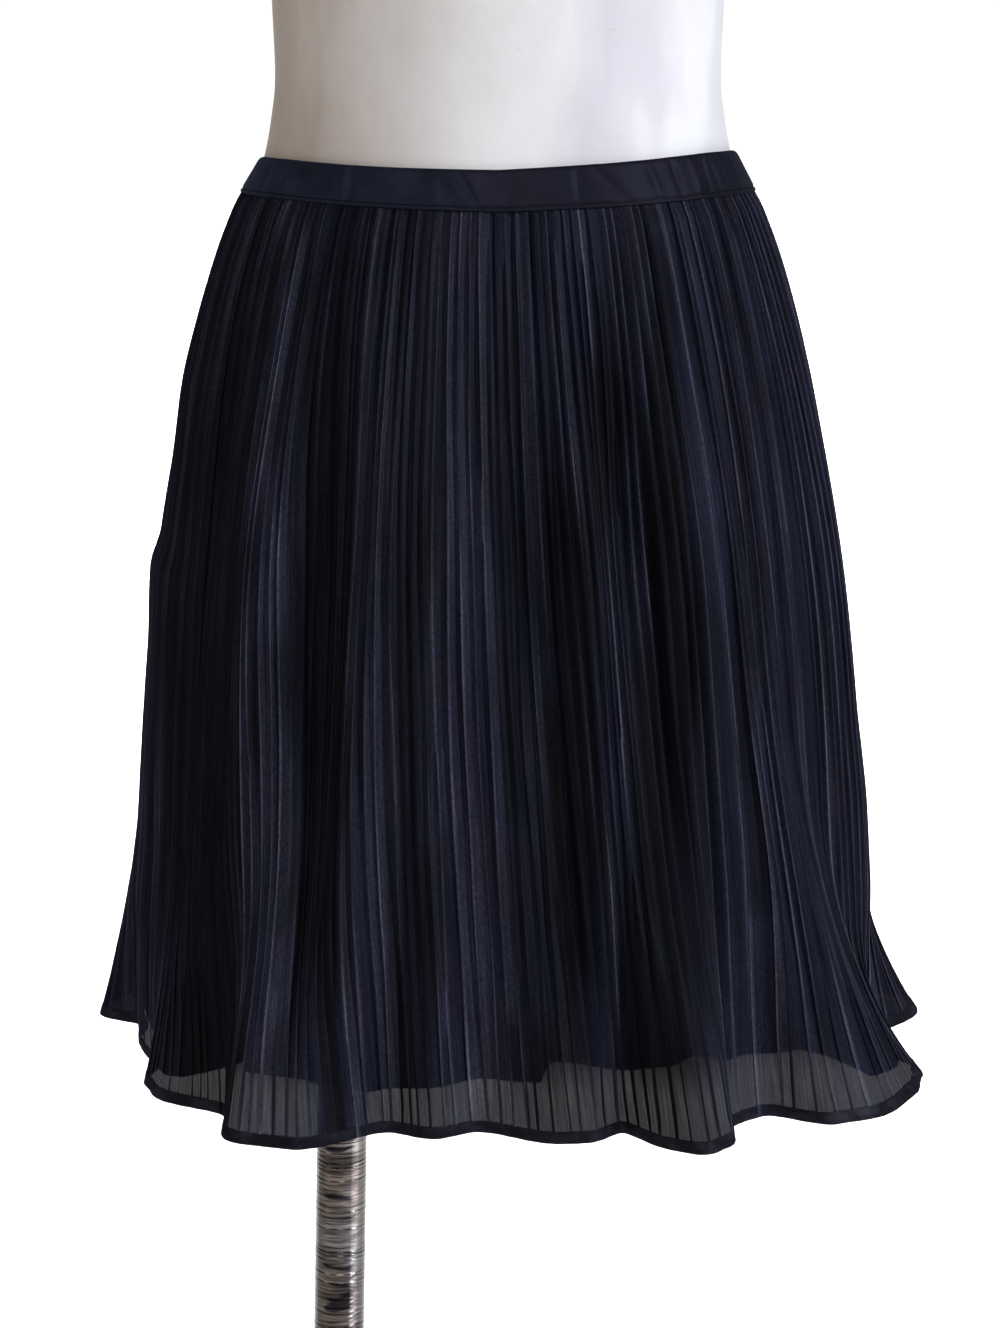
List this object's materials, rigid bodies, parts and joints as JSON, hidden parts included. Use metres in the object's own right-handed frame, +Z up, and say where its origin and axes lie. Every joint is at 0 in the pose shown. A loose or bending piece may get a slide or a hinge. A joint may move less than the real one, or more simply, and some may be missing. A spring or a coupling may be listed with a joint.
{
  "type": "pleated mini skirt on a limbless dress form with a stand",
  "caption": "Short pleated skirt with a narrow waistband and an inner lining, worn by a smooth limbless dress form on an off-centre pole and a round base.",
  "frame": {"origin": "on the floor, on the flat underside of the round base, under the middle of the skirt's waist", "axes": "+Z up, +X to the right when facing the front, the skirt's front faces -Y"},
  "size_m": [0.4498, 0.3699, 0.93],
  "materials": {
    "band_cloth": "dark navy woven cloth, plain flat band with a stitched lower edge",
    "pleated_chiffon": "dark navy sheer chiffon in narrow knife pleats, soft sheen",
    "lining_cloth": "black opaque lining cloth, slight sheen",
    "form_white": "smooth white, half gloss, fine scuffs",
    "socket_metal": "plated steel flange",
    "pole_chrome": "chrome plated tube with fine ribs round it",
    "collar_metal": "plated steel collar",
    "base_metal": "satin plated steel disc"
  },
  "bodies": {
    "root": {"waistband_front": "band_cloth", "waistband_back": "band_cloth", "shell_front": "pleated_chiffon", "shell_back": "pleated_chiffon", "lining_front": "lining_cloth", "lining_back": "lining_cloth", "form_torso": "form_white", "pole_socket": "socket_metal", "stand_pole": "pole_chrome", "base_collar": "collar_metal", "stand_base": "base_metal"}
  },
  "joints": []
}
